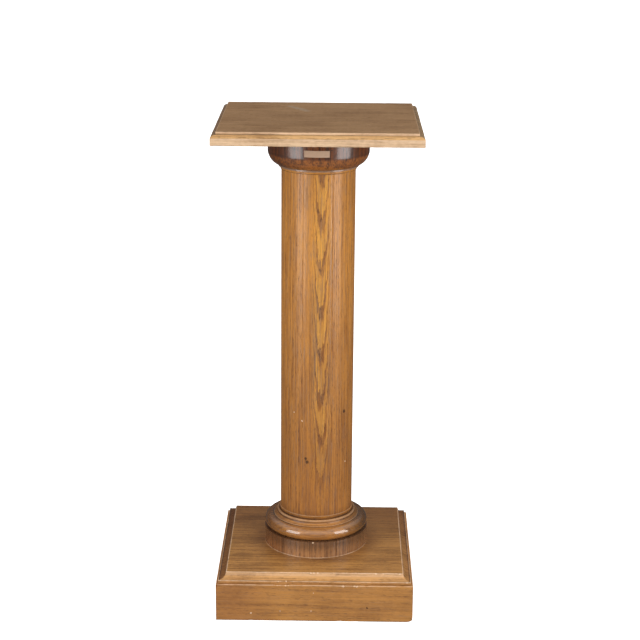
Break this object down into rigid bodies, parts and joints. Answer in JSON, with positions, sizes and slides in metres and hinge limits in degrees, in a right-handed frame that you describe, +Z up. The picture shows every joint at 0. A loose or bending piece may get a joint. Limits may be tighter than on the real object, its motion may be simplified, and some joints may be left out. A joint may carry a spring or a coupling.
{
  "type": "display plinth",
  "caption": "Display plinth: square moulded top on a coopered oak column with turned capital and torus foot, on a stepped square base.",
  "frame": {"origin": "centre of the underside, on the floor", "axes": "+Z up from the floor to the display surface, -Y towards the front, +X to the right seen from the front"},
  "size_m": [0.31, 0.31, 0.7631],
  "materials": {
    "top_oak": "worn satin, dull golden-brown oak",
    "capital_oak": "dark stained oak, satin lacquer",
    "shaft_oak": "golden-brown stained oak, satin lacquer",
    "foot_oak": "brown stained oak, glossy lacquer",
    "base_oak": "brown stained oak, satin lacquer, worn edges",
    "inner_pine": "plain unfinished pine",
    "dowel_beech": "plain unfinished beech",
    "steel": "plain mild steel",
    "label_paper": "matt aged paper, blank"
  },
  "bodies": {
    "root": {"base_bearer": "inner_pine", "base_board_front": "base_oak", "base_board_middle": "base_oak", "base_board_rear": "base_oak", "bearer_screws": "steel", "blank_label": "label_paper", "capital": "capital_oak", "corner_block_back_left": "inner_pine", "corner_block_back_right": "inner_pine", "corner_block_front_left": "inner_pine", "corner_block_front_right": "inner_pine", "drum_screws": "steel", "drum_stave_1": "foot_oak", "drum_stave_2": "foot_oak", "drum_stave_3": "foot_oak", "drum_stave_4": "foot_oak", "drum_stave_5": "foot_oak", "drum_stave_6": "foot_oak", "drum_stave_7": "foot_oak", "drum_stave_8": "foot_oak", "foot_band": "shaft_oak", "foot_fillet": "foot_oak", "lower_plug": "inner_pine", "neck_band": "shaft_oak", "plinth_board_back": "base_oak", "plinth_board_front": "base_oak", "plinth_board_left": "base_oak", "plinth_board_right": "base_oak", "rod_nuts": "steel", "rod_washers": "steel", "shaft_stave_1": "shaft_oak", "shaft_stave_2": "shaft_oak", "shaft_stave_3": "shaft_oak", "shaft_stave_4": "shaft_oak", "shaft_stave_5": "shaft_oak", "shaft_stave_6": "shaft_oak", "shaft_stave_7": "shaft_oak", "shaft_stave_8": "shaft_oak", "tie_rod": "steel", "top_board_front": "top_oak", "top_board_middle": "top_oak", "top_board_rear": "top_oak", "top_dowels": "dowel_beech", "torus_ring": "foot_oak", "upper_plug": "inner_pine"}
  },
  "joints": []
}
